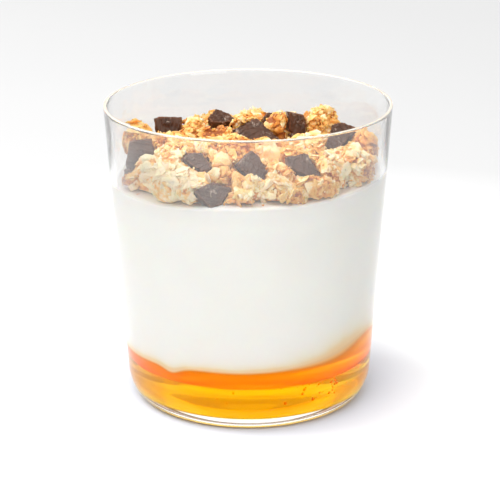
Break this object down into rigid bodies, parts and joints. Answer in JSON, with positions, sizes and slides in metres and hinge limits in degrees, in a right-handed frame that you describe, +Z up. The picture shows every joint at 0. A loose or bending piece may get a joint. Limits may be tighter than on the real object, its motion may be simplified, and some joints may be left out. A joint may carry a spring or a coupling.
{
  "type": "glass of greek yogurt",
  "caption": "Clear tapered tumbler holding a layer of honey, thick white yogurt and a golden granola heap with broken dark chocolate chunks.",
  "frame": {"origin": "centre of the tumbler's flat foot, on the surface it stands on", "axes": "+Z up along the tumbler's axis, -Y towards the viewer of the picture, +X to the viewer's right"},
  "size_m": [0.088, 0.088, 0.093],
  "materials": {
    "glass": "clear polished drinking glass",
    "honey": "clear amber honey, glossy and translucent, with a few small bubbles",
    "yogurt": "smooth thick strained yogurt, soft satin",
    "granola": "baked oat clusters, rough, with a few glazed spots",
    "chocolate": "dark chocolate, satin broken faces with glossy streaks"
  },
  "bodies": {
    "root": {"glass": "glass", "honey": "honey", "yogurt": "yogurt", "granola": "granola", "chocolate_chunk_01": "chocolate", "chocolate_chunk_02": "chocolate", "chocolate_chunk_03": "chocolate", "chocolate_chunk_04": "chocolate", "chocolate_chunk_05": "chocolate", "chocolate_chunk_06": "chocolate", "chocolate_chunk_07": "chocolate", "chocolate_chunk_08": "chocolate", "chocolate_chunk_09": "chocolate", "chocolate_chunk_10": "chocolate", "chocolate_chunk_11": "chocolate", "chocolate_chunk_12": "chocolate", "chocolate_chunk_13": "chocolate"}
  },
  "joints": []
}
